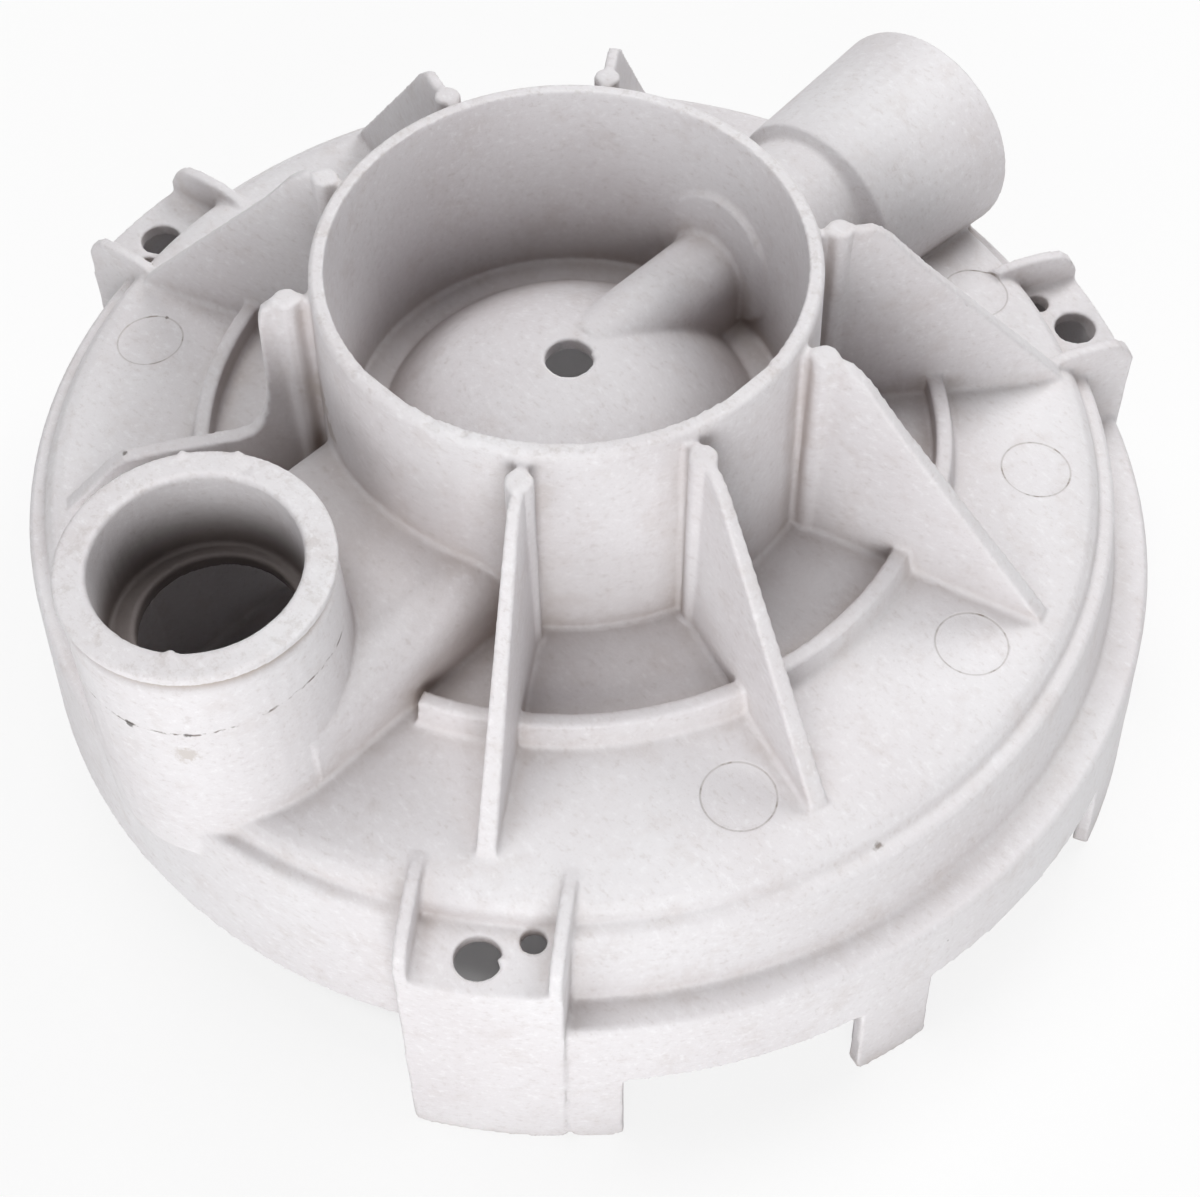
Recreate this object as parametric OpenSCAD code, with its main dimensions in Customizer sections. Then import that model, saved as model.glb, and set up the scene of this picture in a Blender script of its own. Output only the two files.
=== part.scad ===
// Moulded pump and valve body: a ribbed neck on a shallow round housing, with a
// vertical port at one side, a horizontal outlet opposite and three screw lugs.
// Units are millimetres. Z points up, the origin lies on the neck's axis in the
// plane the lugs and feet stand on. The outlet points along +X, the port is at -X.

/* [General] */
// Wall thickness of the plate, skirt, dome and pipes
wall = 3; // [2.4:0.1:3.6]
// Height of the neck's rim above the standing plane
body_height = 108; // [104:1:116]

/* [Neck] */
// Bore radius of the neck
neck_bore_r = 42; // [40:0.5:43]
// Thickness of the neck's wall at the rim
neck_wall = 2.8; // [2.4:0.1:3.4]
// How much the outside of the neck grows per mm of depth
neck_draft = 0.032; // [0:0.002:0.05]
// Outer chamfer of the rim
rim_chamfer = 0.7; // [0.3:0.1:1]
// Height of the floor inside the neck
floor_z = 64.5; // [63.5:0.5:66]
// Radius at which the dome rises from the floor
dome_foot_r = 36; // [34:0.5:38]
// Rise of the dome above the floor
dome_rise = 17.5; // [15:0.5:19]
// Radius of the hole in the top of the dome
centre_hole_r = 4.5; // [3:0.1:6]

/* [Plate and skirt] */
// Height of the plate's top where it meets the neck
plate_z = 61.6; // [60.6:0.2:62.4]
// Fall of the plate per mm of radius
plate_fall = 0.053; // [0.03:0.002:0.06]
// Radius at the top of the skirt
skirt_top_r = 104.5; // [102:0.1:107]
// How much wider the skirt is at its foot
skirt_spread = 2.4; // [1.5:0.1:3]
// Width and height of the small ledge between the skirt and the plate's edge
ledge_w = 3.2; // [2.7:0.1:3.7]
ledge_z = 54.6; // [54:0.1:55]
// Width over which the plate's edge rounds over
edge_w = 4.5; // [3.5:0.1:6]
// Height of the skirt's foot
skirt_foot_z = 21.5; // [19:0.5:26]

/* [Ring flange] */
// Start and end azimuth of the wider ring round the front
ring_from = -137; // [-138:0.5:-136.5]
ring_to = -33.8; // [-34.2:0.1:-33.4]
// How far the band stands out from the skirt's top where it meets the ring's top
band_spread = 2.6; // [2.1:0.1:3.1]
// Height of the ring's top
ring_top_z = 38.7; // [36:0.1:41]
// Width of the ring's flat top
ring_w = 6.8; // [6:0.1:7.3]
// How much wider the ring is at its foot
ring_spread = 1.4; // [0.7:0.1:2.1]
// Height of the ring's foot
ring_foot_z = 21; // [18.5:0.5:25.5]
// Angle that each end wall of the ring takes up
ring_end = 3; // [2.6:0.1:3.4]
// Centre azimuths of the feet below the ring
foot_azimuths = [-133.2, -104.8, -66.4, -45.4];
// Widths of the feet along the ring
foot_widths = [9.4, 15.4, 34, 12];
// How much wider the feet stand than the foot of the ring
foot_spread = 1.6; // [0.7:0.1:2.1]
// Width of the slot between the front lug and the end of the ring
slot_w = 0.55; // [0.3:0.05:0.8]
// Corner radius of the feet and of the lugs
foot_corner = 1.6; // [0.8:0.1:2]
// How far the feet's faces stand back from the ring's wall
foot_set = 0.15; // [0.1:0.05:0.4]

/* [Ribs] */
// Azimuths of the straight ribs
rib_azimuths = [-144, -108, -72, -36, 36, 72, 108];
// How far past the start of the plate's round edge each rib runs out, less than 0 if short of it
rib_outsets = [-4.8, -4.4, -1.4, 0.2, 0.8, 0.4, 0];
// How far each rib's flat top and slope stand further out
rib_shifts = [0, 0, 0.3, 1.8, 4, 3.6, 0];
// How far the ribs' flat tops lie below the neck's rim
rib_drop = 2.2; // [1.2:0.2:5]
// Thickness of a rib at its top
rib_top_t = 2.1; // [1.6:0.1:3]
// Thickness of a rib at the plate
rib_foot_t = 3.6; // [2.4:0.1:4.4]
// Radius of the round pin on each rib and its distance from the neck's outside
pin_r = 2.45; // [2:0.05:3]
pin_offset = 4; // [3.4:0.1:4.6]
// Rise of the pins above the ribs' flat tops
pin_rise = 0.6; // [0.2:0.1:1]
// Azimuth of the rib that drops steeply beside the port
drop_rib_azimuth = 144; // [142:0.5:146]
// Height of the low part of the dropped rib, and how far it ends short of the plate's round edge
drop_rib_z = 72; // [70:0.2:74]
drop_rib_inset = 0.5; // [0.3:0.1:2]

/* [Arc ribs] */
// Inner and outer radius of the arc ribs at their top
arc_inner_r = 66.5; // [64:0.1:68]
arc_outer_r = 69.4; // [68.6:0.1:72]
// Height of the arc ribs' tops
arc_top_z = 65.4; // [63.5:0.1:68]
// Widening of the arc ribs down to the plate
arc_draft = 1.5; // [0:0.1:3]
// Start and end azimuth of each arc rib
arc_spans = [[-157.5, -72], [-72, -36], [110, 143.5]];
// Offset of each arc rib from the first one
arc_offsets = [0, 2.6, 2];

/* [Ejector marks] */
// Radius of the shallow round marks on the plate
mark_r = 6.55; // [4:0.05:8]
// Depth of the marks
mark_depth = 0.25; // [0.1:0.05:0.5]
// Distance inside the plate's round edge and azimuth of each mark
mark_places = [[11.9, -115.5], [10.1, -79.6], [8.2, -51.1], [7.2, -21], [8.8, 117.7]];

/* [Port] */
// Distance of the port from the neck's axis
port_x = 84; // [82:0.1:84.6]
// Height of the port's lip
port_top_z = 100.7; // [97:0.1:102]
// Bore radius of the port
port_bore_r = 17.4; // [16:0.1:18]
// Outer radius of the lip
port_lip_r = 22.9; // [22.7:0.1:23.4]
// Thickness of the lip
port_lip_t = 2.1; // [1.4:0.1:3]
// Width of the chamfer inside the lip
port_chamfer = 0.6; // [0.3:0.1:1.5]
// Radius of the groove below the lip
port_groove_r = 21.9; // [21.4:0.1:22.2]
// Outer radius of the port below the groove and at its foot
port_tube_r = 22.5; // [22.3:0.1:22.6]
port_foot_r = 23.9; // [23.6:0.1:24]
// Height of the step inside the port
port_step_z = 82.4; // [81.5:0.1:86]
// Radius of the hole in that step and its shift towards the neck
port_hole_r = 13.8; // [10:0.1:14.5]
port_hole_shift = 1.2; // [0:0.1:1.5]
// Height where the port dies into the skirt
port_foot_z = 46; // [44:0.5:50]

/* [Duct] */
// Half width of the covered duct between neck and port
duct_half_w = 24; // [23.8:0.1:24.6]
// Height of the duct's crown
duct_top_z = 78.2; // [77:0.2:78.6]
// Corner radius and crown radius of the duct
duct_corner_r = 8.5; // [7:0.5:10]
duct_crown_r = 120; // [100:5:200]
// Height of the duct's floor and how near to the neck's axis the floor comes
duct_floor_z = 45.5; // [44.5:0.1:45.8]
duct_floor_x = 55; // [52:0.5:60]

/* [Outlet] */
// Height of the outlet's axis
outlet_z = 70; // [69:0.5:71]
// Distance of the outlet's mouth from the neck's axis
outlet_x = 103.4; // [102.6:0.1:105]
// Outer radius at the mouth and at the shoulder
outlet_mouth_r = 22.3; // [21.6:0.1:23]
outlet_shoulder_r = 19.9; // [19.4:0.1:20.6]
// Distance of the shoulder from the neck's axis
shoulder_x = 69; // [67:0.5:71]
// Length of the cone that leads the shoulder down to the pipe
shoulder_len = 2.4; // [1.5:0.1:4]
// Outer radius of the pipe between neck and shoulder
pipe_r = 15.6; // [15:0.1:16.5]
// Height of that pipe's axis
pipe_z = 72.5; // [72:0.1:73]
// Radius, height and thickness of the boss on the neck's inner wall
boss_r = 13.8; // [12:0.1:15]
boss_z = 78; // [77:0.5:79]
boss_t = 1.2; // [0.8:0.1:2]
// Radius, side offset and height of the hump inside the neck
hump_r = 8.3; // [7:0.1:9]
hump_y = 2; // [0:0.1:3]
hump_z = 73.6; // [73:0.1:74.5]
// Where the hump starts on the dome
hump_x = 7; // [5:0.5:10]
// Wall of the hump
hump_wall = 2.4; // [1.8:0.1:2.8]

/* [Lugs] */
// Azimuths of the three lugs
lug_azimuths = [-142.9, -27.1, 99.7];
// Width of a lug across its side walls
lug_w = 28.2; // [27.4:0.1:28.6]
// Thickness of a lug's side walls
lug_side_t = 2.4; // [2:0.1:3]
// Height of the lug's shelf
lug_shelf_z = 53.2; // [53.1:0.1:53.8]
// Height of the side walls' tops
lug_wall_z = 61.4; // [60.6:0.1:62.4]
// How far a lug reaches out from the skirt's top, and how much wider it stands at its foot
lug_reach = 9.7; // [9.3:0.1:10.5]
lug_spread = 2.8; // [2.2:0.1:3.2]
// How far inside the plate's round edge the side walls start
lug_start = 4.3; // [2.8:0.1:5.8]
// Radius of the screw holes, then distance from the skirt's top and turn of each
screw_r = 4.1; // [3:0.1:4.6]
screw_places = [[3, -0.5], [3.1, -0.4], [1.5, 0.4]];
// Radius of the locating holes, then distance from the skirt's top and turn of each
pin_hole_r = 2.3; // [1.5:0.1:2.3]
pin_hole_places = [[-0.9, 4.3], [-1, 4.4], [-0.9, 4.5]];

/* [Hidden] */
// Overlap that makes joined solids share material
bite = 0.5;
// Length added to cutting tools beyond the surface they cut
past = 2;
// Colour of the natural glass filled resin
resin = [0.82, 0.79, 0.78];

neck_r = neck_bore_r + neck_wall;
neck_foot_r = neck_r + neck_draft * (body_height - plate_z);
ledge_r = skirt_top_r - ledge_w;
plate_r = ledge_r - edge_w;
skirt_foot_r = skirt_top_r + skirt_spread;
plate_edge_z = plate_z - plate_fall * (plate_r - neck_foot_r);
plate_tilt = atan(plate_fall);
edge_h = plate_edge_z - ledge_z;
band_foot_r = skirt_top_r + band_spread;
ring_top_r = band_foot_r + ring_w;
ring_foot_r = ring_top_r + ring_spread;
foot_r = ring_foot_r + foot_spread;
rib_top_z = body_height - rib_drop;
pin_circle_r = neck_r + pin_offset;
pin_top_z = rib_top_z + pin_rise;
drop_rib_tip = plate_r - drop_rib_inset;
lug_top_r = skirt_top_r + lug_reach;
lug_foot_r = lug_top_r + lug_spread;
lug_start_r = plate_r - lug_start;
dome_r = (dome_foot_r * dome_foot_r + dome_rise * dome_rise) / (2 * dome_rise);
dome_centre_z = floor_z + dome_rise - dome_r;
outer_reach = lug_foot_r + past;

// Height of the plate's top surface at a radius
function plate_top(r) = plate_z - plate_fall * (r - neck_foot_r);
// Points of the rounded plate edge, set in by an offset towards the inside
function edge_point(a, set) = [plate_r + (edge_w - set) * sin(a), ledge_z - set + edge_h * cos(a)];
// Outer radius of the skirt at a height
function skirt_r(z) = skirt_top_r + (skirt_foot_r - skirt_top_r) * (ledge_z - 1.6 - z) / (ledge_z - 1.6 - skirt_foot_z);

// A ring sector between two azimuths, drawn from a radial section
module sector(from, to) {
  rotate([0, 0, from])
    rotate_extrude(angle = to - from)
      children();
}

// A flat plate standing in the radial plane, drawn as radius against height
module radial_plate(t) {
  rotate([90, 0, 0])
    translate([0, 0, -t / 2])
      linear_extrude(height = t)
        children();
}

// Neck, floor, plate, rounded edge, ledge and skirt as one turned shell
module shell_section() {
  polygon([
    [neck_bore_r, body_height],
    [neck_r - rim_chamfer, body_height],
    [neck_r, body_height - rim_chamfer],
    [neck_foot_r, plate_z],
    [plate_r, plate_edge_z],
    edge_point(30, 0),
    edge_point(60, 0),
    [ledge_r, ledge_z],
    [skirt_top_r - 1.2, ledge_z],
    [skirt_top_r - 0.3, ledge_z - 0.5],
    [skirt_top_r, ledge_z - 1.6],
    [skirt_foot_r, skirt_foot_z],
    [skirt_foot_r - wall, skirt_foot_z],
    [skirt_top_r - wall, ledge_z - wall],
    [ledge_r - wall, ledge_z - wall],
    edge_point(60, wall),
    edge_point(30, wall),
    [plate_r, plate_edge_z - wall],
    [neck_foot_r, plate_z - wall],
    [neck_foot_r, floor_z - wall],
    [dome_foot_r - bite, floor_z - wall],
    [dome_foot_r - bite, floor_z],
    [neck_bore_r, floor_z]
  ]);
}

// The dome inside the neck, a spherical shell with a hole in its top
module dome() {
  intersection() {
    difference() {
      translate([0, 0, dome_centre_z])
        sphere(r = dome_r);
      translate([0, 0, dome_centre_z])
        sphere(r = dome_r - wall);
    }
    translate([0, 0, floor_z - wall])
      cylinder(r = dome_foot_r + wall, h = dome_rise + 2 * wall);
  }
}

// One straight rib as a thin drafted blade with its pin
module rib(tip, shift) {
  crest = [
    [neck_bore_r + bite, plate_z - bite],
    [neck_bore_r + bite, rib_top_z],
    [pin_circle_r + 4 + shift, rib_top_z],
    [pin_circle_r + 5.8 + shift, rib_top_z - 1],
    [pin_circle_r + 8 + shift, rib_top_z - 2.9],
    [pin_circle_r + 11 + shift, rib_top_z - 6.6],
    [pin_circle_r + 15.2 + shift, rib_top_z - 11.6],
    [tip, plate_top(tip) + 0.8],
    [tip, plate_top(tip) - 1]
  ];
  intersection() {
    radial_plate(rib_foot_t + 1)
      polygon(crest);
    rib_wedge(tip);
  }
  translate([pin_circle_r, 0, plate_z - bite])
    cylinder(r = pin_r, h = pin_top_z - plate_z + bite);
}

// Section across a rib, thin at the top and thicker at the plate
module rib_wedge(tip) {
  rotate([90, 0, 90])
    translate([0, 0, neck_bore_r])
      linear_extrude(height = tip - neck_bore_r + past)
        polygon([
          [-rib_top_t / 2, body_height],
          [rib_top_t / 2, body_height],
          [rib_foot_t / 2, plate_z - wall],
          [-rib_foot_t / 2, plate_z - wall]
        ]);
}

// The rib beside the port: it drops from the pin and runs out low
module drop_rib() {
  crest = [
    [neck_bore_r + bite, plate_z - bite],
    [neck_bore_r + bite, rib_top_z],
    [pin_circle_r + 3, rib_top_z],
    [pin_circle_r + 4.6, rib_top_z - 1.2],
    [pin_circle_r + 5.4, rib_top_z - 4],
    [pin_circle_r + 6.2, drop_rib_z + 12],
    [pin_circle_r + 7, drop_rib_z + 8],
    [pin_circle_r + 8.4, drop_rib_z + 4],
    [pin_circle_r + 10.4, drop_rib_z + 1.8],
    [pin_circle_r + 13.7, drop_rib_z + 0.7],
    [drop_rib_tip - 21.3, drop_rib_z],
    [drop_rib_tip - 12.8, drop_rib_z - 1],
    [drop_rib_tip - 9.8, drop_rib_z - 3.1],
    [drop_rib_tip, plate_top(drop_rib_tip) - 0.2],
    [drop_rib_tip, plate_top(drop_rib_tip) - 1]
  ];
  intersection() {
    radial_plate(rib_foot_t + 1)
      polygon(crest);
    rib_wedge(drop_rib_tip);
  }
  translate([pin_circle_r, 0, plate_z - bite])
    cylinder(r = pin_r, h = pin_top_z - plate_z + bite);
}

// Low curved ribs concentric with the neck
module arc_rib(span, shift) {
  inner = arc_inner_r + shift;
  outer = arc_outer_r + shift;
  sector(span[0], span[1])
    polygon([
      [inner, plate_top(inner) - 1],
      [inner, arc_top_z],
      [outer, arc_top_z],
      [outer + arc_draft, plate_top(outer) - 1]
    ]);
}

// The wider ring with its flat top, and the feet below it
module ring_flange() {
  sector(ring_from, ring_to)
    polygon([
      [skirt_top_r - 1, ledge_z - 1],
      [skirt_top_r - 0.35, ledge_z - 1],
      [band_foot_r, ring_top_z],
      [ring_top_r - 0.9, ring_top_z],
      [ring_top_r, ring_top_z - 0.9],
      [ring_foot_r, ring_foot_z],
      [skirt_top_r + bite, ring_foot_z]
    ]);
}

// The feet below the ring
module feet() {
  for (i = [0 : len(foot_azimuths) - 1])
    rotate([0, 0, foot_azimuths[i]])
      foot(foot_widths[i]);
}

// Hollow of the ring between its end walls: here the ring replaces the skirt's wall
module ring_hollow() {
  sector(ring_from + ring_end, ring_to - ring_end)
    polygon([
      [skirt_top_r - wall - 2, ring_foot_z - past],
      [ring_foot_r - wall, ring_foot_z - past],
      [ring_foot_r - wall, ring_foot_z],
      [ring_top_r - wall, ring_top_z - wall],
      [skirt_top_r - wall - 2, ring_top_z - wall]
    ]);
}

// One foot: a strip of the ring's wall cut to a width with round lower corners
module foot(w) {
  intersection() {
    rotate_extrude()
      polygon([
        [foot_r - wall, 0],
        [foot_r, 0],
        [ring_foot_r - foot_set, ring_foot_z + bite],
        [ring_foot_r - wall + foot_set, ring_foot_z + bite]
      ]);
    translate([skirt_foot_r, 0, 0])
      rotate([90, 0, 90])
        linear_extrude(height = outer_reach - skirt_foot_r)
          rounded_foot(w, ring_foot_z + past);
  }
}

// Upright outline with rounded lower corners
module rounded_foot(w, h) {
  translate([-w / 2, foot_corner])
    square([w, h - foot_corner]);
  translate([-w / 2 + foot_corner, 0])
    square([w - 2 * foot_corner, h]);
  for (side = [-1, 1])
    translate([side * (w / 2 - foot_corner), foot_corner])
      circle(r = foot_corner);
}

// One lug with its shelf, outer wall and the two side walls that reach the plate
module lug() {
  intersection() {
    union() {
      translate([ledge_r - 1, 0, 0])
        rotate([90, 0, 90])
          linear_extrude(height = outer_reach - ledge_r + 1)
            rounded_foot(lug_w, lug_shelf_z);
      for (side = [-1, 1])
        translate([0, side * (lug_w - lug_side_t) / 2, 0])
          radial_plate(lug_side_t)
            lug_wall_outline();
    }
    rotate_extrude()
      polygon([
        [skirt_top_r - 1, -past],
        [lug_foot_r + past * (lug_foot_r - lug_top_r) / lug_shelf_z, -past],
        [lug_top_r, lug_shelf_z],
        [lug_top_r - 0.3, body_height],
        [lug_start_r - 1, body_height],
        [lug_start_r - 1, plate_edge_z - 1.4],
        [ledge_r - 2, ledge_z - 1],
        [ledge_r - 1, lug_shelf_z - wall - 0.4],
        [skirt_top_r - 1, lug_shelf_z - wall - 1.4]
      ]);
  }
}

// Outline of a side wall: it rises from the plate and rounds off at the outer face
module lug_wall_outline() {
  polygon([
    [lug_start_r, plate_top(lug_start_r) - 1],
    [lug_start_r, plate_top(lug_start_r) + 0.1],
    [lug_start_r + 5, lug_wall_z - 0.6],
    [lug_start_r + 7.5, lug_wall_z - 0.1],
    [lug_top_r - 9, lug_wall_z],
    [lug_top_r - 4.8, lug_wall_z - 0.7],
    [lug_top_r - 2.5, lug_wall_z - 2.4],
    [lug_top_r - 1.2, lug_wall_z - 4.6],
    [lug_top_r + 0.4, lug_shelf_z - 0.6],
    [lug_top_r + 0.4, lug_shelf_z - 16],
    [skirt_top_r, lug_shelf_z - 16]
  ]);
}

// Pocket between a lug's side walls, where the ledge and the skirt make way for the shelf
module lug_pocket() {
  difference() {
    translate([lug_start_r, -(lug_w - lug_side_t) / 2, lug_shelf_z - 0.6])
      cube([outer_reach - lug_start_r, lug_w - lug_side_t, body_height]);
    cylinder(r = ledge_r - 0.15, h = body_height);
  }
}

// Hollow of a lug, open below and towards the housing
module lug_hollow() {
  intersection() {
    translate([ledge_r - wall - 1, -lug_w / 2 + lug_side_t, -past])
      cube([outer_reach - ledge_r, lug_w - 2 * lug_side_t, lug_shelf_z - wall + past]);
    rotate_extrude()
      polygon([
        [ledge_r - wall, -past],
        [lug_foot_r - wall, -past],
        [lug_top_r - wall, lug_shelf_z],
        [ledge_r - wall, lug_shelf_z]
      ]);
  }
}

// The two holes through a lug's shelf
module lug_holes(screw_place, pin_place) {
  rotate([0, 0, screw_place[1]])
    translate([skirt_top_r + screw_place[0], 0, lug_shelf_z - wall - bite])
      cylinder(r = screw_r, h = plate_z - lug_shelf_z + wall + 2 * past);
  rotate([0, 0, pin_place[1]])
    translate([skirt_top_r + pin_place[0], 0, lug_shelf_z - wall - bite])
      cylinder(r = pin_hole_r, h = plate_z - lug_shelf_z + wall + 2 * past);
}

// Narrow slot that parts the end of the ring from the front lug
module ring_slot() {
  rotate([0, 0, lug_azimuths[0]])
    translate([skirt_foot_r - 0.4, lug_w / 2, -past])
      cube([outer_reach, slot_w, ring_top_z + 2 * past]);
}

// Cross section of the duct, set in by an offset
module duct_section(set) {
  half = duct_half_w - set;
  corner = duct_corner_r - set;
  side_z = duct_top_z - duct_corner_r - 0.9;
  translate([-half, duct_floor_z])
    square([2 * half, side_z - duct_floor_z]);
  for (side = [-1, 1])
    translate([side * (half - corner), side_z])
      circle(r = corner);
  intersection() {
    translate([0, duct_top_z - duct_crown_r])
      circle(r = duct_crown_r - set);
    translate([-half + corner, side_z - 1])
      square([2 * (half - corner), 20]);
  }
}

// Covered duct from the neck to the port
module duct() {
  difference() {
    translate([-port_x, 0, 0])
      rotate([90, 0, 90])
        linear_extrude(height = port_x - neck_bore_r - 0.6)
          duct_section(0);
    translate([0, 0, -past])
      cylinder(r = port_x + outer_reach, h = plate_edge_z - wall + bite + past);
  }
}

// Lower part of the duct and the port below the plate, still solid
module duct_trough() {
  side = port_foot_r - 0.4;
  height = plate_edge_z - duct_floor_z + wall - 0.3;
  intersection() {
    union() {
      translate([-port_x, 0, duct_floor_z - wall])
        cylinder(r = port_foot_r - 0.25, h = height);
      translate([past - port_x, -side, duct_floor_z - wall])
        cube([port_x - past - duct_floor_x, 2 * side, height]);
    }
    cylinder(r = skirt_top_r - bite, h = body_height);
  }
}

// Hollow of the duct, open towards the housing beside the neck
module duct_hollow() {
  difference() {
    translate([-port_x, 0, 0])
      rotate([90, 0, 90])
        linear_extrude(height = port_x - neck_bore_r)
          duct_section(wall);
    cylinder(r = neck_foot_r - 0.6, h = body_height);
  }
}

// Outside of the vertical port
module port_outside() {
  rotate_extrude()
    polygon([
      [0, port_foot_z - 8],
      [port_foot_r - 8, port_foot_z - 8],
      [port_foot_r, port_foot_z],
      [port_foot_r - 0.2, 64],
      [port_tube_r, port_top_z - port_lip_t - 1.4],
      [port_groove_r, port_top_z - port_lip_t - 1.2],
      [port_groove_r, port_top_z - port_lip_t],
      [port_lip_r - 0.2, port_top_z - port_lip_t],
      [port_lip_r, port_top_z - port_lip_t + 0.3],
      [port_lip_r, port_top_z - 0.3],
      [port_lip_r - 0.3, port_top_z],
      [0, port_top_z]
    ]);
}

// Bore of the port, its step and the wide room below
module port_inside() {
  rotate_extrude()
    polygon([
      [0, port_top_z + past],
      [port_bore_r + port_chamfer, port_top_z + past],
      [port_bore_r + port_chamfer, port_top_z],
      [port_bore_r, port_top_z - port_chamfer],
      [port_bore_r, port_step_z],
      [0, port_step_z]
    ]);
  translate([port_hole_shift, 0, port_step_z - wall - 1])
    cylinder(r = port_hole_r, h = wall + 2);
  translate([0, 0, port_foot_z])
    cylinder(r1 = port_foot_r - wall, r2 = port_tube_r - wall, h = port_step_z - wall - port_foot_z);
}

// Outside of the outlet: pipe, shoulder and tapered socket
module outlet_outside() {
  translate([neck_bore_r + 0.8, 0, pipe_z])
    rotate([0, 90, 0])
      cylinder(r = pipe_r, h = shoulder_x - neck_bore_r);
  translate([shoulder_x, 0, outlet_z])
    rotate([0, 90, 0])
      cylinder(r1 = outlet_shoulder_r, r2 = outlet_mouth_r, h = outlet_x - shoulder_x);
  translate([shoulder_x - shoulder_len, 0, outlet_z])
    rotate([0, 90, 0])
      cylinder(r1 = outlet_shoulder_r - shoulder_len, r2 = outlet_shoulder_r, h = shoulder_len);
}

// Bore of the outlet: tapered socket, pipe and the narrow way into the hump
module outlet_inside() {
  translate([shoulder_x + wall, 0, outlet_z])
    rotate([0, 90, 0])
      cylinder(r1 = outlet_shoulder_r - wall, r2 = outlet_mouth_r - wall, h = outlet_x - shoulder_x - wall);
  translate([outlet_x - 0.1, 0, outlet_z])
    rotate([0, 90, 0])
      cylinder(r = outlet_mouth_r - wall, h = past + 0.1);
  translate([neck_foot_r + 0.4, 0, pipe_z])
    rotate([0, 90, 0])
      cylinder(r = pipe_r - wall, h = shoulder_x - neck_foot_r + wall + past);
  translate([hump_x + hump_wall, hump_y, hump_z])
    rotate([0, 90, 0])
      cylinder(r = hump_r - hump_wall, h = neck_foot_r - hump_x);
}

// Boss on the neck's inner wall and the hump from it to the dome
module hump() {
  difference() {
    translate([neck_bore_r - boss_t - 1.2, 0, boss_z])
      rotate([0, 90, 0])
        cylinder(r = boss_r, h = boss_t + 3);
    translate([0, 0, boss_z - boss_r - past])
      cylinder(r = neck_bore_r - boss_t, h = 2 * (boss_r + past));
  }
  difference() {
    union() {
      translate([hump_x, hump_y, hump_z])
        rotate([0, 90, 0])
          cylinder(r = hump_r, h = neck_bore_r - hump_x + 1);
      translate([hump_x, hump_y - hump_r, floor_z - wall])
        cube([neck_bore_r - hump_x + 0.5, 2 * hump_r, hump_z - floor_z + wall]);
    }
    translate([0, 0, dome_centre_z])
      sphere(r = dome_r - wall + 0.4);
  }
}

// Channel below the hump, open towards the housing
module hump_channel() {
  translate([hump_x + hump_wall, hump_y - hump_r + hump_wall, floor_z - wall - past])
    cube([neck_bore_r - hump_x - 2 * hump_wall, 2 * (hump_r - hump_wall), hump_z - floor_z + wall + past]);
}

// Room below the plate that stays free of everything added above
module housing_room() {
  difference() {
    union() {
      translate([0, 0, -past])
        cylinder(r = skirt_top_r - wall, h = ledge_z - wall + past);
      translate([0, 0, ledge_z - wall - 1])
        cylinder(r = plate_r - 1, h = plate_edge_z - ledge_z + 1);
    }
    translate([shoulder_x - shoulder_len, 0, outlet_z])
      rotate([0, 90, 0])
        cylinder(r = outlet_mouth_r + past, h = outer_reach);
  }
}

// Shallow round ejector marks lying flat on the sloping plate
module ejector_marks() {
  for (place = mark_places)
    rotate([0, 0, place[1]])
      translate([plate_r - place[0], 0, plate_top(plate_r - place[0])])
        rotate([0, plate_tilt, 0])
          translate([0, 0, -mark_depth])
            cylinder(r = mark_r, h = past);
}

module valve_body() {
  color(resin)
    difference() {
      union() {
        difference() {
          union() {
            rotate_extrude()
              shell_section();
            ring_flange();
            feet();
            duct();
            translate([-port_x, 0, 0])
              port_outside();
            outlet_outside();
          }
          ring_hollow();
          ring_slot();
          housing_room();
          for (azimuth = lug_azimuths)
            rotate([0, 0, azimuth])
              lug_pocket();
          translate([0, 0, floor_z])
            cylinder(r = neck_bore_r, h = body_height);
        }
        duct_trough();
        dome();
        for (i = [0 : len(rib_azimuths) - 1])
          rotate([0, 0, rib_azimuths[i]])
            rib(plate_r + rib_outsets[i], rib_shifts[i]);
        rotate([0, 0, drop_rib_azimuth])
          drop_rib();
        for (i = [0 : len(arc_spans) - 1])
          arc_rib(arc_spans[i], arc_offsets[i]);
        for (azimuth = lug_azimuths)
          rotate([0, 0, azimuth])
            lug();
        hump();
      }
      duct_hollow();
      translate([-port_x, 0, 0])
        port_inside();
      outlet_inside();
      hump_channel();
      translate([0, 0, floor_z - wall])
        cylinder(r = centre_hole_r, h = dome_rise + 2 * wall);
      for (i = [0 : len(lug_azimuths) - 1])
        rotate([0, 0, lug_azimuths[i]]) {
          lug_hollow();
          lug_holes(screw_places[i], pin_hole_places[i]);
        }
      ejector_marks();
    }
}

valve_body();
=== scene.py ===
# %% [markdown]
# The imported model comes in first as a fixed frame. Everything made below is in
# metres and shares that frame: the neck's axis is Z, the outlet points along +X
# and the part stands on z = 0. The finished scene has to stay inside it.

# %% Load the frame
import math

import bmesh
import bpy
import numpy as np
from mathutils import Matrix, Vector


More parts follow.
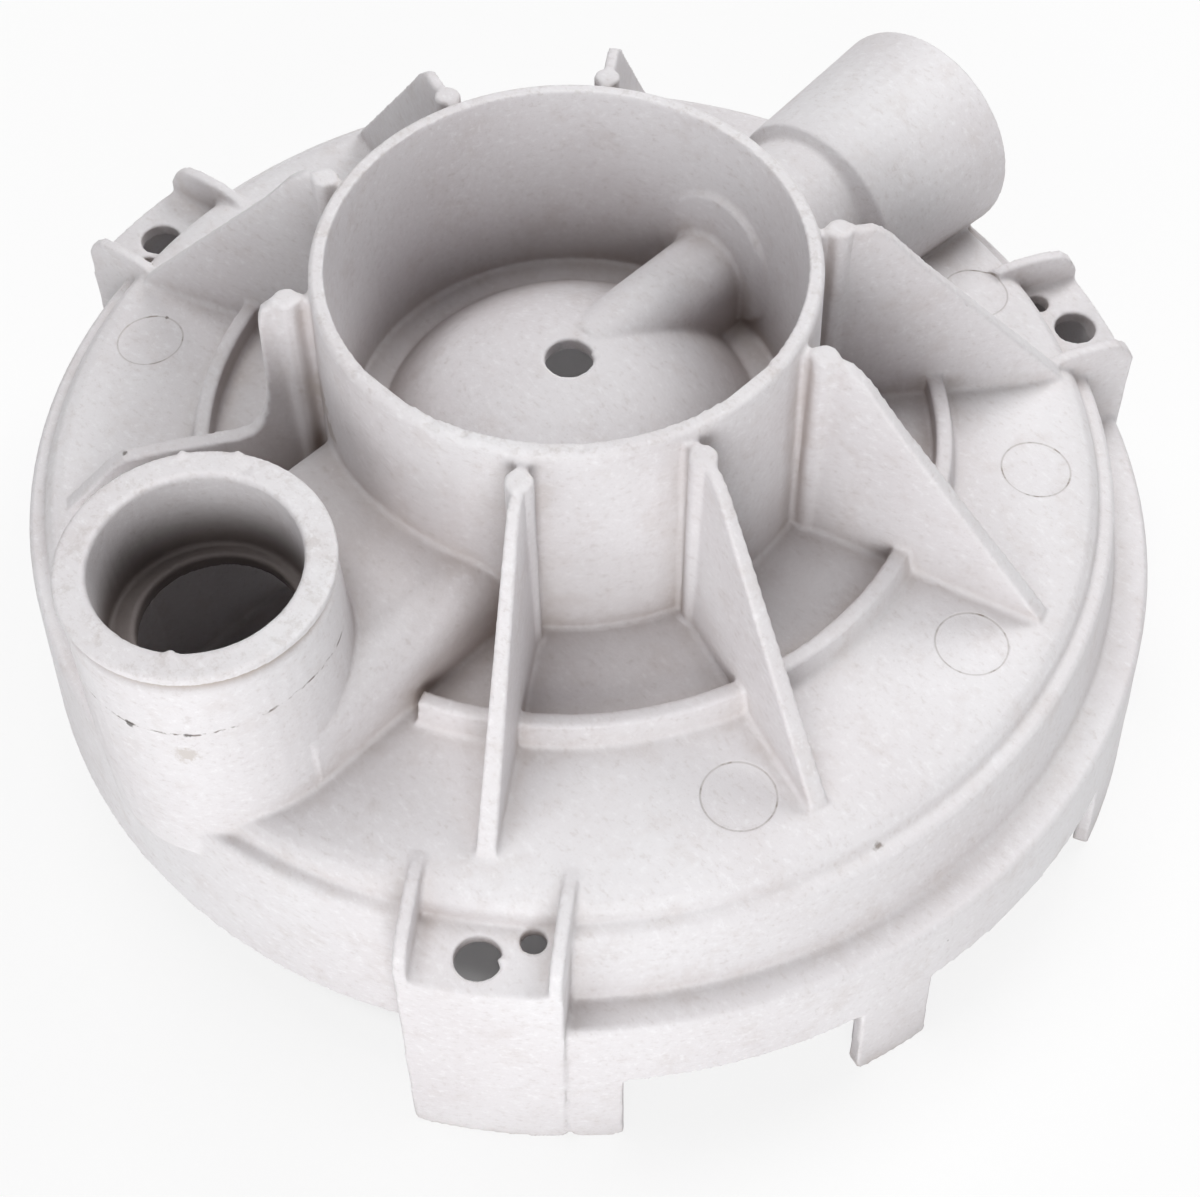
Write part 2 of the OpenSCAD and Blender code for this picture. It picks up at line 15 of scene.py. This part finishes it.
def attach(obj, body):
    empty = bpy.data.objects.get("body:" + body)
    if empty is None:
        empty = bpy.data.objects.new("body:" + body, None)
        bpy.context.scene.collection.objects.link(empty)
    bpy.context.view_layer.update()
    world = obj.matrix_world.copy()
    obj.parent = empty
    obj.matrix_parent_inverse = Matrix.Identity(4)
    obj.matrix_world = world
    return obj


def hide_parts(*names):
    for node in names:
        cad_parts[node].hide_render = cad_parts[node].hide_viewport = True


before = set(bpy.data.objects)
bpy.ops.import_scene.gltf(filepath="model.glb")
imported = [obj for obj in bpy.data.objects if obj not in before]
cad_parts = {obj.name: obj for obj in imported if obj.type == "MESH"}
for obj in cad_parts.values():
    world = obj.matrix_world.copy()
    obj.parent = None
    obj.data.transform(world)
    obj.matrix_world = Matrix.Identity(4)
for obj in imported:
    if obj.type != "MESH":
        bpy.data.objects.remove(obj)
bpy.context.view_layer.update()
MM = 0.001

# %% [markdown]
# The photograph was taken from a raised hand, close to the part, so its lens
# draws the near side clearly larger than the far side. The camera could be
# aimed by eye, but the part's own circles fix it: the neck's rim, the skirt and
# the screw holes only line up from one place. Position and turn are written as
# numbers, and the two edges of the view that follow are its right and its up.

# %% Camera
CAMERA_PLACE_MM = (-177.24, -184.53, 365.70)
VIEW_RIGHT = Vector((0.700385, -0.713734, -0.006699))
VIEW_UP = Vector((0.584770, 0.568401, 0.578761))
LENS_MM = 62.09

lens = bpy.data.cameras.new("photo_lens")
lens.lens, lens.sensor_width, lens.sensor_fit = LENS_MM, 36.0, "AUTO"
lens.clip_start, lens.clip_end = 0.01, 20.0
camera = bpy.data.objects.new("photo_camera", lens)
bpy.context.scene.collection.objects.link(camera)
turn = Matrix((VIEW_RIGHT, VIEW_UP, VIEW_RIGHT.cross(VIEW_UP))).transposed()
camera.matrix_world = Matrix.Translation(Vector(CAMERA_PLACE_MM) * MM) @ turn.to_4x4()
bpy.context.scene.camera = camera
print("camera is", round(camera.location.length / MM), "mm from the origin")

# %% [markdown]
# The housing is one injection moulded piece. Its mould has no sharp edges: every
# outer edge is rounded and every inner corner carries a small fillet. A bevel on
# each edge would do it, but a bevel breaks where thin ribs, pins and walls meet.
# So the whole solid is turned into fine cubes of space and skinned again, which
# melts all edges by the same small amount, and a few rounds of smoothing finish
# them. A last step thins the mesh where it is flat.

# %% Round the moulding
VOXEL_MM = 0.5
MELT_ROUNDS = 3
TRIANGLES = 192_000

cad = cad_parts["valve_body"]
housing = bpy.data.objects.new("housing", cad.data.copy())
bpy.context.scene.collection.objects.link(housing)

work = bmesh.new()
work.from_mesh(housing.data)
bmesh.ops.remove_doubles(work, verts=work.verts, dist=0.001 * MM)

# The duct's rounded shoulders run on into the neck's wall.
SHOULDER_R_MM, SHOULDER_Y_MM, SHOULDER_Z_MM, DUCT_WALL_MM = 8.5, 15.5, 68.8, 3.0
SHOULDER_FROM_MM, SHOULDER_TO_MM = -44.0, -38.4
for side in (-1, 1):
    outline = []
    for radius, order in ((SHOULDER_R_MM, 1), (SHOULDER_R_MM - DUCT_WALL_MM, -1)):
        turns = [math.radians(a) for a in range(0, 73, 6)][::order]
        arc = [(SHOULDER_Y_MM + radius * math.cos(a), SHOULDER_Z_MM + radius * math.sin(a)) for a in turns]
        foot = [(SHOULDER_Y_MM + radius, 59.0)]
        outline += foot + arc if order == 1 else arc + foot
    ends = []
    for x in (SHOULDER_FROM_MM, SHOULDER_TO_MM):
        ends.append([work.verts.new((x * MM, side * y * MM, z * MM)) for y, z in outline])
    work.faces.new(ends[0])
    work.faces.new(ends[1][::-1])
    for i in range(len(outline)):
        j = (i + 1) % len(outline)
        work.faces.new((ends[0][j], ends[0][i], ends[1][i], ends[1][j]))
bmesh.ops.recalc_face_normals(work, faces=work.faces)
work.to_mesh(housing.data)
work.free()


def apply_modifiers(piece):
    """Bake the modifiers of a piece into its mesh."""
    graph = bpy.context.evaluated_depsgraph_get()
    made = bpy.data.meshes.new_from_object(piece.evaluated_get(graph))
    piece.modifiers.clear()
    old, piece.data = piece.data, made
    bpy.data.meshes.remove(old)


PORT_X_MM = -84.0
GROOVE_Z_MM, GROOVE_W_MM, GROOVE_DEEP_MM = 97.6, 0.9, 1.0
NIBS_AND_CHIPS = [
    ((-100.2, -1.9, 100.6), 0.8, 0.9),
    ((-97.6, -10.9, 100.6), 0.8, 0.7),
    ((-71.5, 18.6, 100.4), 0.7, 0.6),
    ((-65.0, 12.0, 100.4), 0.7, 0.5),
    ((-66.2, 8.6, 100.4), 0.9, -0.5),
    ((-42.5, 6.9, 108.0), 0.9, -0.5),
    ((-41.9, -10.6, 108.0), 1.2, -0.4),
    ((-40.1, -16.4, 108.0), 0.8, -0.5),
    ((-28.5, -32.3, 108.0), 0.9, -0.5),
    ((43.2, -6.7, 108.0), 0.8, -0.4),
    ((37.6, -22.1, 108.0), 0.9, -0.5),
    ((3.6, -2.9, 81.8), 0.7, 0.8),
    ((-83.9, -67.3, 52.9), 0.8, 0.9),
]

skin = housing.modifiers.new("skin", "REMESH")
skin.mode, skin.voxel_size, skin.use_smooth_shade = "VOXEL", VOXEL_MM * MM, True
melt = housing.modifiers.new("melt", "SMOOTH")
melt.factor, melt.iterations = 0.5, MELT_ROUNDS
apply_modifiers(housing)

# %% [markdown]
# The fine shapes come next, while the skin is still dense. Below the port's lip
# runs a groove that a gripping ring left. Where the mould's halves met, the melt
# crept out in small nibs, and where the part was knocked, its rims are chipped.
# Each of these is a place, a size and a height, out or in along the surface.

# %% Groove, nibs and chips
skin_points = np.empty(len(housing.data.vertices) * 3)
housing.data.vertices.foreach_get("co", skin_points)
skin_points = skin_points.reshape(-1, 3) / MM
skin_normals = np.empty(len(housing.data.vertices) * 3)
housing.data.vertices.foreach_get("normal", skin_normals)
skin_normals = skin_normals.reshape(-1, 3)
from_port = skin_points - np.array([PORT_X_MM, 0, 0])
reach = np.hypot(from_port[:, 0], from_port[:, 1])
outside = (reach > 20.5) & (reach < 23.6)
groove = np.exp(-((skin_points[:, 2] - GROOVE_Z_MM) / GROOVE_W_MM) ** 2) * outside * GROOVE_DEEP_MM
skin_points[:, :2] -= from_port[:, :2] / reach[:, None] * groove[:, None]
for place_mm, radius_mm, height_mm in NIBS_AND_CHIPS:
    near = np.linalg.norm(skin_points - np.array(place_mm), axis=1)
    swell = np.exp(-(near / radius_mm) ** 2) * height_mm * (near < 3 * radius_mm)
    skin_points += skin_normals * swell[:, None]
housing.data.vertices.foreach_set("co", (skin_points * MM).ravel())
housing.data.update()
faces_before = sum(len(p.vertices) - 2 for p in housing.data.polygons)
thin = housing.modifiers.new("thin", "DECIMATE")
thin.ratio = min(1.0, TRIANGLES / faces_before)
apply_modifiers(housing)
for face in housing.data.polygons:
    face.use_smooth = True
flatten = housing.modifiers.new("flatten", "WEIGHTED_NORMAL")
flatten.mode, flatten.weight, flatten.keep_sharp = "FACE_AREA", 50, False
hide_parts("valve_body")
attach(housing, "root")
print("housing:", faces_before, "triangles thinned to", sum(len(p.vertices) - 2 for p in housing.data.polygons))

# %% [markdown]
# The real material is polypropylene filled with short glass fibres, in its
# natural colour, a warm light grey. All of its materials are made of nodes, so
# these helpers keep the cells short: one turns a hex colour into the linear
# values that Blender works in, one adds a node with its settings and links, and
# the rest build masks from places on the part, in millimetres.

# %% Material helpers
def linear(hex_colour):
    """Turn an sRGB hex colour into the linear values that Blender works in."""
    parts = [int(hex_colour[i:i + 2], 16) / 255 for i in (1, 3, 5)]
    return [c / 12.92 if c <= 0.04045 else ((c + 0.055) / 1.055) ** 2.4 for c in parts] + [1.0]


def add(tree, kind, links=(), **settings):
    """Add a node, set its properties or sockets by name, and link its inputs."""
    node = tree.nodes.new(kind)
    for name, value in settings.items():
        if hasattr(node, name):
            setattr(node, name, value)
        else:
            node.inputs[name.replace("_", " ")].default_value = value
    for socket, source in dict(links).items():
        tree.links.new(source, node.inputs[socket])
    return node


def maths(tree, operation, *values):
    """One Math node; each value is a number or another node's output."""
    node = tree.nodes.new("ShaderNodeMath")
    node.operation = operation
    for socket, value in zip(node.inputs, values):
        if isinstance(value, (int, float)):
            socket.default_value = value
        else:
            tree.links.new(value, socket)
    return node.outputs[0]


def fade(tree, value, start, end):
    """0 before start, 1 after end, with a soft step between; end may be lower."""
    node = add(tree, "ShaderNodeMapRange", {"Value": value}, interpolation_type="SMOOTHSTEP")
    for name, number in (("From Min", start), ("From Max", end)):
        node.inputs[name].default_value = number
    return node.outputs["Result"]


def tint(tree, below, hex_colour, amount, blend="MIX"):
    """Lay a colour over what is below, by an amount from 0 to 1."""
    node = add(tree, "ShaderNodeMix", data_type="RGBA", blend_type=blend)
    node.inputs[7].default_value = linear(hex_colour)
    tree.links.new(below, node.inputs[6])
    tree.links.new(amount, node.inputs[0])
    return node.outputs[2]


def grain(tree, place, size_mm, detail=3.0, roughness=0.6, stretch=(1, 1, 1)):
    """Noise whose grains measure about size_mm, squeezed along an axis by stretch."""
    scaled = add(tree, "ShaderNodeVectorMath", {0: place}, operation="MULTIPLY")
    scaled.inputs[1].default_value = [k / (size_mm * MM) for k in stretch]
    noise = add(tree, "ShaderNodeTexNoise", {"Vector": scaled.outputs[0]}, Scale=1.0, Detail=detail, Roughness=roughness)
    return noise.outputs["Fac"]


def distance(tree, place, point_mm):
    """Distance in millimetres from a point on the part."""
    node = add(tree, "ShaderNodeVectorMath", {0: place}, operation="DISTANCE")
    node.inputs[1].default_value = [c * MM for c in point_mm]
    return maths(tree, "MULTIPLY", node.outputs["Value"], 1 / MM)


# %% [markdown]
# The fibres show at the surface as a fine mottle of lighter and darker grains.
# The melt's flow leaves wide, faint clouds. Handling leaves small rubbed spots.
# Dark specks are burnt grains in the melt. Each of these is one noise with a
# size taken from the real thing, laid over the one before it. Hollows and
# corners are darkened towards a warm taupe: that is painted shade, and in the
# narrow corners partly dust.

# %% Glass filled polypropylene
resin = bpy.data.materials.new("glass_filled_polypropylene_moulded")
resin.use_nodes = True
tree = resin.node_tree
tree.nodes.clear()
place = add(tree, "ShaderNodeTexCoord").outputs["Object"]

CLOUD_MM, BLOTCH_MM, FIBRE_MM, DUST_MM = 38.0, 7.5, 1.15, 0.42
clouds = grain(tree, place, CLOUD_MM, 2.0, 0.5)
blotches = grain(tree, place, BLOTCH_MM, 4.0, 0.62)
fibres = grain(tree, place, FIBRE_MM, 3.0, 0.7, (1.0, 0.55, 1.0))
dust = grain(tree, place, DUST_MM, 2.0, 0.6)

flow = add(tree, "ShaderNodeValToRGB", {"Fac": clouds})
flow.color_ramp.elements[0].position, flow.color_ramp.elements[0].color = 0.32, linear("#DFDBDD")
flow.color_ramp.elements[1].position, flow.color_ramp.elements[1].color = 0.68, linear("#E7E5E7")
colour = tint(tree, flow.outputs["Color"], "#CFC7C5", maths(tree, "MULTIPLY", fade(tree, blotches, 0.50, 0.72), 0.32))
colour = tint(tree, colour, "#F3F2F4", maths(tree, "MULTIPLY", fade(tree, fibres, 0.52, 0.74), 0.5))
colour = tint(tree, colour, "#BDB4B1", maths(tree, "MULTIPLY", fade(tree, fibres, 0.46, 0.26), 0.32))
colour = tint(tree, colour, "#A69C96", maths(tree, "MULTIPLY", fade(tree, dust, 0.60, 0.78), 0.2))

# painted shade: within 30 mm of other surfaces the colour is multiplied towards warm taupe
hollow = add(tree, "ShaderNodeAmbientOcclusion", Distance=30.0 * MM, samples=2)
painted_hollow_shade = maths(tree, "MULTIPLY", fade(tree, hollow.outputs["AO"], 0.60, 0.06), 0.92)
colour = tint(tree, colour, "#8F8078", painted_hollow_shade, "MULTIPLY")
# painted shade with some dust: corners within 5 mm are darkened towards taupe, in patches
corner = add(tree, "ShaderNodeAmbientOcclusion", Distance=5.0 * MM, samples=1)
corner_shade_and_dust = maths(tree, "MULTIPLY", fade(tree, corner.outputs["AO"], 0.75, 0.15), fade(tree, blotches, 0.25, 0.6))
colour = tint(tree, colour, "#A39284", maths(tree, "MULTIPLY", corner_shade_and_dust, 0.42))

cells = add(tree, "ShaderNodeTexVoronoi", {"Vector": place}, Scale=1 / (9.0 * MM), Randomness=1.0)
chosen = add(tree, "ShaderNodeSeparateColor", {"Color": cells.outputs["Color"]}).outputs["Red"]
speck_size = maths(tree, "MULTIPLY", chosen, 0.045)
speck = maths(tree, "MULTIPLY", maths(tree, "LESS_THAN", cells.outputs["Distance"], speck_size), maths(tree, "GREATER_THAN", chosen, 0.86))
colour = tint(tree, colour, "#5C4F48", maths(tree, "MULTIPLY", speck, 0.8))

# %% [markdown]
# Some marks are this one part's own. A scratched line runs round the port, where
# the two halves of its mould met, and it holds dark dirt in dots. The neck has a
# grey rub mark near the port, and its rim and the port's lip are scuffed. Each
# ejector mark on the plate is a shallow disc with a fine dark edge. The port's
# bore and the groove below its lip are darkened too: that is painted shade.

# %% Marks of this one part
axes = add(tree, "ShaderNodeSeparateXYZ", {"Vector": place})
x_mm, y_mm, z_mm = [maths(tree, "MULTIPLY", axes.outputs[i], 1 / MM) for i in range(3)]
from_port_x = maths(tree, "SUBTRACT", x_mm, PORT_X_MM)
port_distance = maths(tree, "SQRT", maths(tree, "ADD", maths(tree, "POWER", from_port_x, 2.0), maths(tree, "POWER", y_mm, 2.0)))
on_tube = maths(tree, "MULTIPLY", fade(tree, port_distance, 20.0, 20.6), fade(tree, port_distance, 24.0, 23.5))
line_height = maths(tree, "ADD", 84.6, maths(tree, "MULTIPLY", fade(tree, from_port_x, -22.0, 0.0), 2.4))
wander = maths(tree, "MULTIPLY", maths(tree, "SUBTRACT", grain(tree, place, 6.0), 0.5), 1.6)
off_line = maths(tree, "ABSOLUTE", maths(tree, "SUBTRACT", maths(tree, "ADD", z_mm, wander), line_height))
scratch = maths(tree, "MULTIPLY", fade(tree, off_line, 0.34, 0.12), fade(tree, grain(tree, place, 2.2), 0.46, 0.6))
front_side = fade(tree, y_mm, 8.0, -2.0)
scratch = maths(tree, "MULTIPLY", maths(tree, "MULTIPLY", scratch, on_tube), front_side)
colour = tint(tree, colour, "#6E6059", maths(tree, "MULTIPLY", scratch, 0.85))

SPOTS = {
    "tube speck left": ((-106.0, -6.5, 84.1), 1.0, "#3F3733"),
    "tube speck right": ((-101.0, -15.2, 84.9), 0.75, "#4A413C"),
    "tube rub mark": ((-101.5, -14.0, 79.0), 2.6, "#C9C2BD"),
    "speck by the dropped rib": ((-66.9, 49.1, 71.1), 0.8, "#4F4640"),
    "speck by the back rib": ((-34.7, 80.3, 59.4), 0.6, "#5A504A"),
    "speck on the ledge": ((-25.0, -98.3, 54.6), 1.1, "#7A6E66"),
    "rub mark on the neck": ((-38.8, 23.2, 84.0), 5.0, "#BBB3AE"),
    "rub mark low on the neck": ((-41.5, 19.0, 80.5), 3.0, "#AFA7A2"),
}
ragged = maths(tree, "MULTIPLY", maths(tree, "SUBTRACT", grain(tree, place, 1.6, 4.0, 0.7), 0.5), 2.4)
for point_mm, radius_mm, hex_colour in SPOTS.values():
    near = maths(tree, "ADD", distance(tree, place, point_mm), maths(tree, "MULTIPLY", ragged, radius_mm))
    colour = tint(tree, colour, hex_colour, maths(tree, "MULTIPLY", fade(tree, near, radius_mm, radius_mm * 0.45), 0.8))

MARK_R_MM = 6.55
MARKS = [(-36.5, -76.6, 59.5), (15.7, -85.3, 59.4), (55.6, -69.0, 59.3), (83.6, -32.1, 59.3), (-40.9, 77.9, 59.3)]
rings = 0.0
discs = 0.0
for point_mm in MARKS:
    reach = distance(tree, place, point_mm)
    rings = maths(tree, "ADD", rings, fade(tree, maths(tree, "ABSOLUTE", maths(tree, "SUBTRACT", reach, MARK_R_MM)), 0.24, 0.06))
    discs = maths(tree, "ADD", discs, fade(tree, reach, MARK_R_MM, MARK_R_MM - 0.3))
ring_dirt = maths(tree, "MULTIPLY", rings, maths(tree, "ADD", 0.35, maths(tree, "MULTIPLY", fade(tree, grain(tree, place, 3.0), 0.5, 0.68), 0.65)))
colour = tint(tree, colour, "#8E837B", ring_dirt)

# painted shade: the port's bore is multiplied darker the deeper it goes
port_bore_shade = maths(tree, "MULTIPLY", fade(tree, port_distance, 18.6, 17.8), fade(tree, z_mm, 97.0, 83.5))
colour = tint(tree, colour, "#6B5F58", maths(tree, "MULTIPLY", port_bore_shade, 0.85), "MULTIPLY")
# painted shade: a brownish line laid in the groove below the port's lip
groove_shade = maths(tree, "MULTIPLY", fade(tree, maths(tree, "ABSOLUTE", maths(tree, "SUBTRACT", z_mm, GROOVE_Z_MM)), 1.0, 0.2), on_tube)
colour = tint(tree, colour, "#A08F80", maths(tree, "MULTIPLY", groove_shade, 0.6))

worn = fade(tree, grain(tree, place, 3.0, 4.0, 0.75), 0.51, 0.66)
rim_scuff = maths(tree, "MULTIPLY", fade(tree, z_mm, 107.2, 107.7), worn)
on_lip = maths(tree, "MULTIPLY", fade(tree, z_mm, 99.9, 100.4), fade(tree, port_distance, 25.0, 24.0))
lip_scuff = maths(tree, "MULTIPLY", on_lip, worn)
colour = tint(tree, colour, "#A1948A", maths(tree, "MULTIPLY", maths(tree, "ADD", rim_scuff, lip_scuff), 0.22))

# %% [markdown]
# The surface itself is matt: the fibres press through the skin as a very fine
# unevenness, so its roughness varies with the same grains, and the bump is only
# some hundredths of a millimetre high.

# %% Surface of the resin
height = maths(tree, "ADD", maths(tree, "MULTIPLY", fibres, 0.6), maths(tree, "MULTIPLY", blotches, 1.2))
height = maths(tree, "SUBTRACT", height, maths(tree, "MULTIPLY", rings, 1.2))
height = maths(tree, "SUBTRACT", height, maths(tree, "MULTIPLY", discs, 0.5))
height = maths(tree, "SUBTRACT", height, maths(tree, "MULTIPLY", scratch, 1.0))
bump = add(tree, "ShaderNodeBump", {"Height": height}, Strength=0.55, Distance=0.09 * MM)
rough = maths(tree, "ADD", 0.46, maths(tree, "MULTIPLY", fibres, 0.2))
surface = add(tree, "ShaderNodeBsdfPrincipled", {"Base Color": colour, "Normal": bump.outputs["Normal"], "Roughness": rough}, IOR=1.49)
add(tree, "ShaderNodeOutputMaterial", {"Surface": surface.outputs["BSDF"]})
housing.data.materials.clear()
housing.data.materials.append(resin)
for slot in cad.material_slots:
    slot.material = resin
print("resin nodes:", len(tree.nodes))

# %% [markdown]
# The photograph shows the part alone on white. The floor is white paper: what
# the camera sees of it is mostly its own white, and the rest is lit, so that the
# part still stands in a soft shadow. Under the part the paper is only lit, or
# it would shine up through the holes, which are dark in the photograph.

# %% Floor
bpy.ops.mesh.primitive_plane_add(size=6.0, location=(0, 0, 0))
floor = bpy.context.object
floor.name = "floor"
paper = bpy.data.materials.new("white_paper_sweep")
paper.use_nodes = True
tree = paper.node_tree
tree.nodes.clear()
place = add(tree, "ShaderNodeTexCoord").outputs["Object"]
fibre_tone = add(tree, "ShaderNodeMapRange", {"Value": grain(tree, place, 3.0)})
fibre_tone.inputs["To Min"].default_value, fibre_tone.inputs["To Max"].default_value = 0.90, 0.94
matt = add(tree, "ShaderNodeBsdfDiffuse", {"Color": fibre_tone.outputs["Result"]})
white = add(tree, "ShaderNodeEmission", Color=linear("#FFFFFF"), Strength=1.0)
ray = add(tree, "ShaderNodeLightPath")
clear_of_part = fade(tree, distance(tree, place, (0, 0, 0)), 84.0, 102.0)
seen = maths(tree, "MULTIPLY", maths(tree, "MULTIPLY", ray.outputs["Is Camera Ray"], 0.85), clear_of_part)
sheet = add(tree, "ShaderNodeMixShader", {0: seen, 1: matt.outputs["BSDF"], 2: white.outputs["Emission"]})
add(tree, "ShaderNodeOutputMaterial", {"Surface": sheet.outputs["Shader"]})
floor.data.materials.append(paper)

# %% [markdown]
# The light in the photograph is soft. Most of it comes low from the camera's
# side, which makes the port and the front lug the palest faces, and a high lamp
# and one from the outlet's side fill the rest, so the near side of the neck's
# bore is its darkest wall. Four wide square lamps copy that. The sky gives next
# to nothing: seen by the camera, it is plain white.

# %% Lamps and sky
def lamp(name, azimuth, height_angle, size_mm, watts):
    """A square soft lamp on a circle round the part, aimed at its middle."""
    reach = 1100 * MM
    flat = reach * math.cos(math.radians(height_angle))
    data = bpy.data.lights.new(name, "AREA")
    data.size, data.energy = size_mm * MM, watts
    body = bpy.data.objects.new(name, data)
    bpy.context.scene.collection.objects.link(body)
    turn_angle = math.radians(azimuth)
    rise = reach * math.sin(math.radians(height_angle)) + 50 * MM
    body.location = (flat * math.cos(turn_angle), flat * math.sin(turn_angle), rise)
    aim = Vector((0, 0, 60 * MM)) - body.location
    body.rotation_euler = aim.to_track_quat("-Z", "Y").to_euler()
    return body


lamp("low_key", 225, 15, 600, 7.7)
lamp("outlet_fill", 0, 45, 600, 6.0)
lamp("high_fill", 90, 75, 600, 5.4)
lamp("left_edge", 180, 15, 600, 1.8)
SKY_LIGHT = 0.03

world = bpy.data.worlds.new("studio")
bpy.context.scene.world = world
world.use_nodes = True
tree = world.node_tree
tree.nodes.clear()
ray = add(tree, "ShaderNodeLightPath")
lit = add(tree, "ShaderNodeBackground", Color=linear("#FFFFFF"), Strength=SKY_LIGHT)
seen = add(tree, "ShaderNodeBackground", Color=linear("#FFFFFF"), Strength=1.0)
either = maths(tree, "MAXIMUM", ray.outputs["Is Camera Ray"], ray.outputs["Is Glossy Ray"])
mixed = add(tree, "ShaderNodeMixShader", {0: either, 1: lit.outputs["Background"], 2: seen.outputs["Background"]})
add(tree, "ShaderNodeOutputWorld", {"Surface": mixed.outputs["Shader"]})
bpy.context.scene.view_settings.view_transform = "Standard"

# %% Update the scene
bpy.context.view_layer.update()
